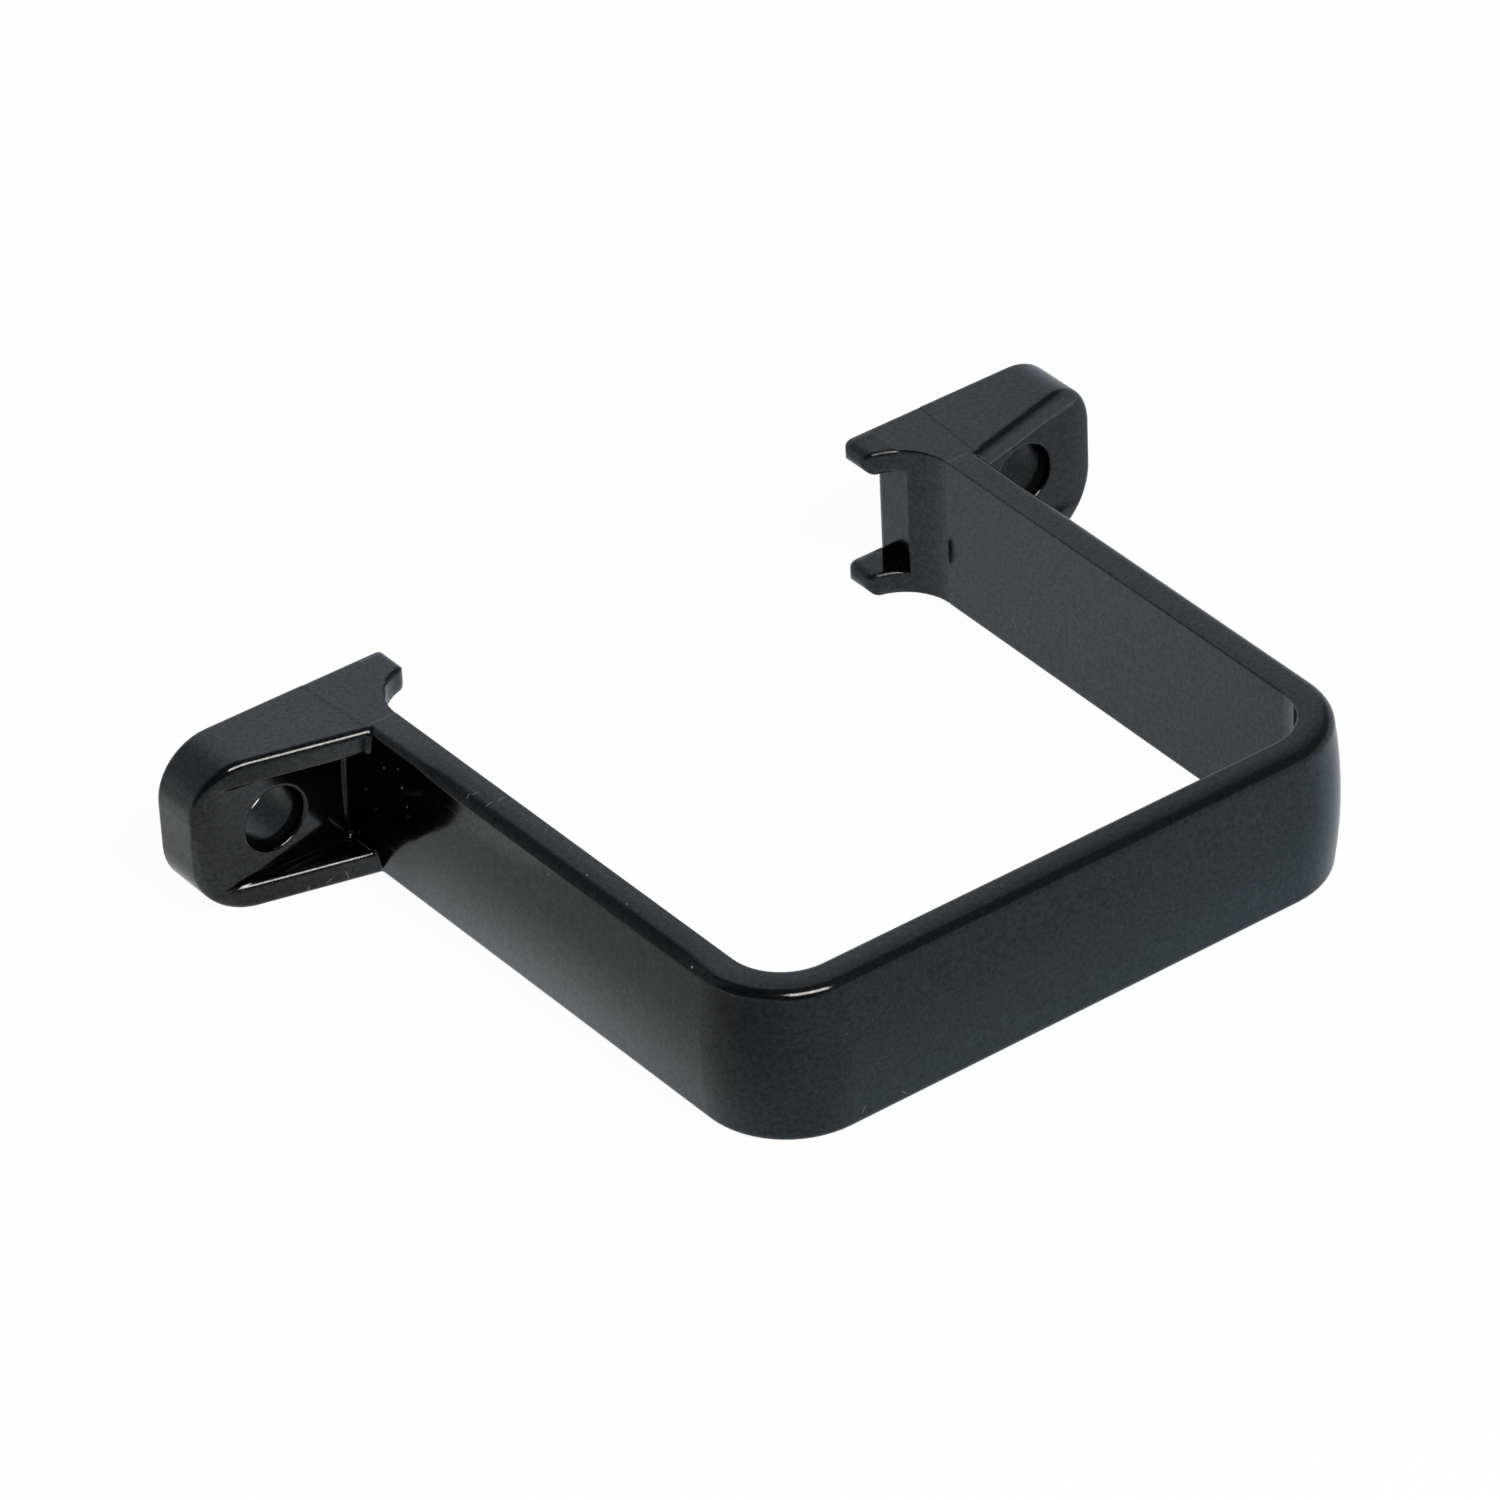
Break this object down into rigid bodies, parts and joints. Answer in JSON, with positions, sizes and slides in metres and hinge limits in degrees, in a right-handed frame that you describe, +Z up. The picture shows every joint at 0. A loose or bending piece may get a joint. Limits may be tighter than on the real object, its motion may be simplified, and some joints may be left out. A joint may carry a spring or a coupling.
{
  "type": "downpipe clip",
  "caption": "Square U-shaped downpipe clip with rounded corners, ribbed screw lugs at its ends and short inward lips that hold the pipe clear of the wall.",
  "frame": {"origin": "on the wall face, midway between the screw holes and at mid-height of the strap", "axes": "+X along the wall, +Y into the wall, +Z up along the pipe"},
  "size_m": [0.111, 0.0729, 0.0172],
  "materials": {
    "clip": "smooth moulded black, glossy, with fine handling scratches"
  },
  "bodies": {
    "root": {"clip": "clip"}
  },
  "joints": []
}
